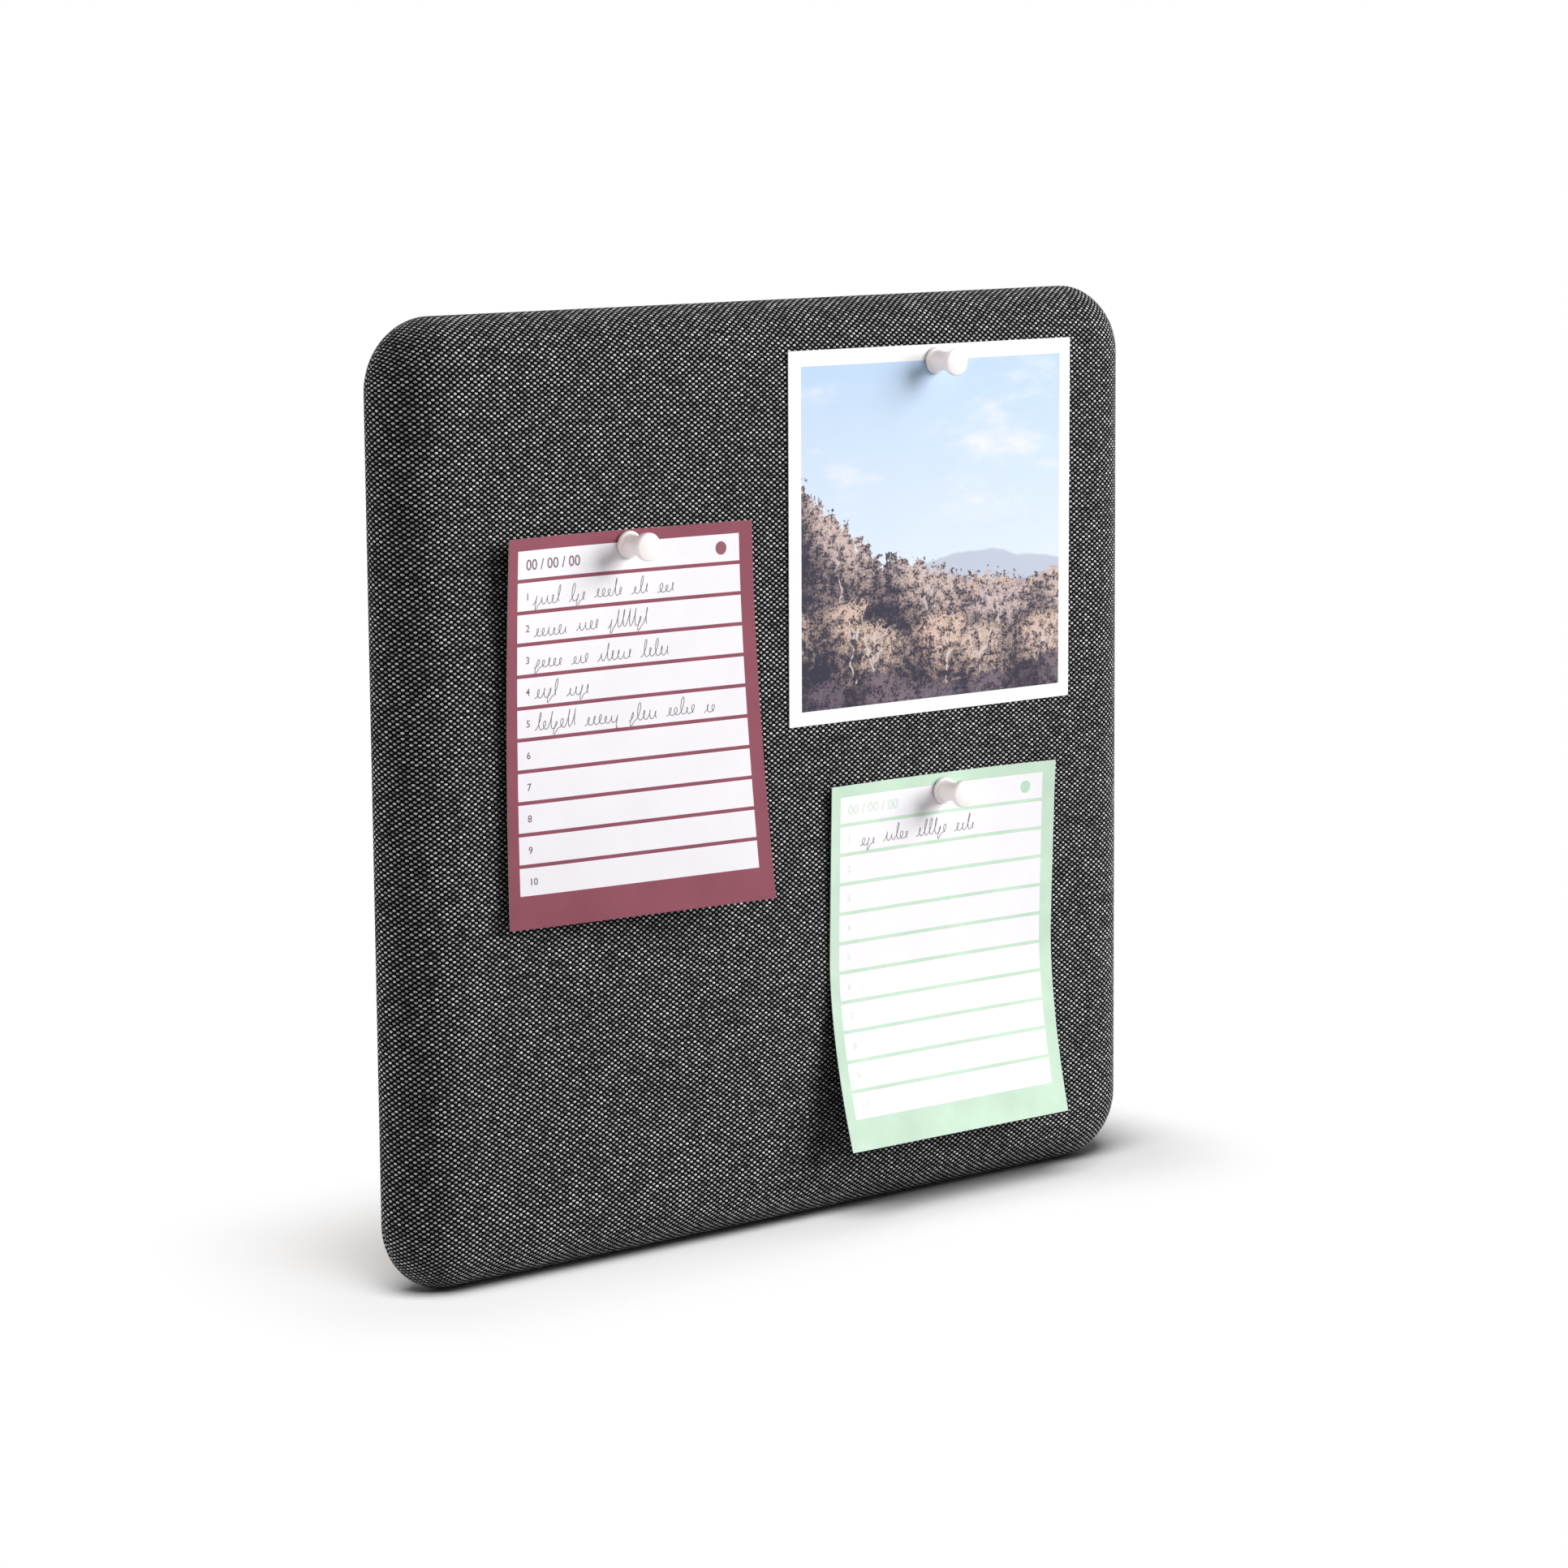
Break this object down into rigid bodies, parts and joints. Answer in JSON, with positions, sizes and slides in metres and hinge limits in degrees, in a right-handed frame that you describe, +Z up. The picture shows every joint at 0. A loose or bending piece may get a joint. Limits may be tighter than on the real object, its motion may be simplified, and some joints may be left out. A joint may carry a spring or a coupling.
{
  "type": "fabric pin board",
  "caption": "Square wall board with a padded, fabric-covered face, curled note sheets and a photo print held by push pins, keyhole hangers behind",
  "frame": {"origin": "middle of the back panel's outer face, which lies against the wall", "axes": "+X to the right as seen from the front, +Y towards the wall, +Z up; the fabric face looks along -Y"},
  "size_m": [0.3174, 0.0391, 0.3174],
  "materials": {
    "weave": "black basket weave with light grey heathered yarn",
    "foam": "open-cell upholstery foam",
    "fibreboard": "soft tackable fibreboard",
    "pine": "planed, unfinished",
    "hardboard": "smooth hardboard",
    "zinc_steel": "zinc plated",
    "staple_wire": "galvanised wire",
    "needle_steel": "polished",
    "bumper_rubber": "matte",
    "pin_plastic": "warm white, satin gloss",
    "maroon_paper": "uncoated, printed maroon border",
    "mint_paper": "uncoated, printed mint border",
    "photo_paper": "satin photo paper with a white border"
  },
  "bodies": {
    "board": {"fabric_cover": "weave", "foam_pad": "foam", "core_board": "fibreboard", "frame_rail_top": "pine", "frame_rail_bottom": "pine", "frame_rail_right": "pine", "frame_rail_left": "pine", "back_panel": "hardboard", "panel_screw_top": "zinc_steel", "panel_screw_bottom": "zinc_steel", "panel_screw_left": "zinc_steel", "panel_screw_right": "zinc_steel", "keyhole_hanger_left": "zinc_steel", "hanger_screw_left_upper": "zinc_steel", "hanger_screw_left_lower": "zinc_steel", "keyhole_hanger_right": "zinc_steel", "hanger_screw_right_upper": "zinc_steel", "hanger_screw_right_lower": "zinc_steel", "hem_staple_01": "staple_wire", "hem_staple_02": "staple_wire", "hem_staple_03": "staple_wire", "hem_staple_04": "staple_wire", "hem_staple_05": "staple_wire", "hem_staple_06": "staple_wire", "hem_staple_07": "staple_wire", "hem_staple_08": "staple_wire", "hem_staple_09": "staple_wire", "hem_staple_10": "staple_wire", "hem_staple_11": "staple_wire", "hem_staple_12": "staple_wire", "hem_staple_13": "staple_wire", "hem_staple_14": "staple_wire", "hem_staple_15": "staple_wire", "hem_staple_16": "staple_wire", "bumper_top_left": "bumper_rubber", "bumper_top_right": "bumper_rubber", "bumper_bottom_left": "bumper_rubber", "bumper_bottom_right": "bumper_rubber"},
    "left_pin": {"push_pin_left": "pin_plastic", "push_pin_left_needle": "needle_steel"},
    "lower_pin": {"push_pin_lower": "pin_plastic", "push_pin_lower_needle": "needle_steel"},
    "upper_pin": {"push_pin_upper": "pin_plastic", "push_pin_upper_needle": "needle_steel"},
    "maroon_note": {"maroon_note_sheet": "maroon_paper"},
    "mint_note": {"mint_note_sheet": "mint_paper"},
    "print": {"photo_print": "photo_paper"}
  },
  "joints": [
    {"name": "left_pin_pull", "type": "slide", "parent": "board", "child": "left_pin", "axis": [0, -1, 0], "range_m": [0, 0.03]},
    {"name": "lower_pin_pull", "type": "slide", "parent": "board", "child": "lower_pin", "axis": [0, -1, 0], "range_m": [0, 0.03]},
    {"name": "upper_pin_pull", "type": "slide", "parent": "board", "child": "upper_pin", "axis": [0, -1, 0], "range_m": [0, 0.03]},
    {"name": "maroon_note_swing", "type": "hinge", "parent": "left_pin", "child": "maroon_note", "pos_m": [-0.0694, -0.0226, 0.0824], "axis": [0, -1, 0], "range_deg": [-15, 6]},
    {"name": "mint_note_swing", "type": "hinge", "parent": "lower_pin", "child": "mint_note", "pos_m": [0.066, -0.0226, -0.0135], "axis": [0, -1, 0], "range_deg": [-12, 12]},
    {"name": "photo_print_swing", "type": "hinge", "parent": "upper_pin", "child": "print", "pos_m": [0.0629, -0.0226, 0.1363], "axis": [0, -1, 0], "range_deg": [-4, 4]}
  ]
}
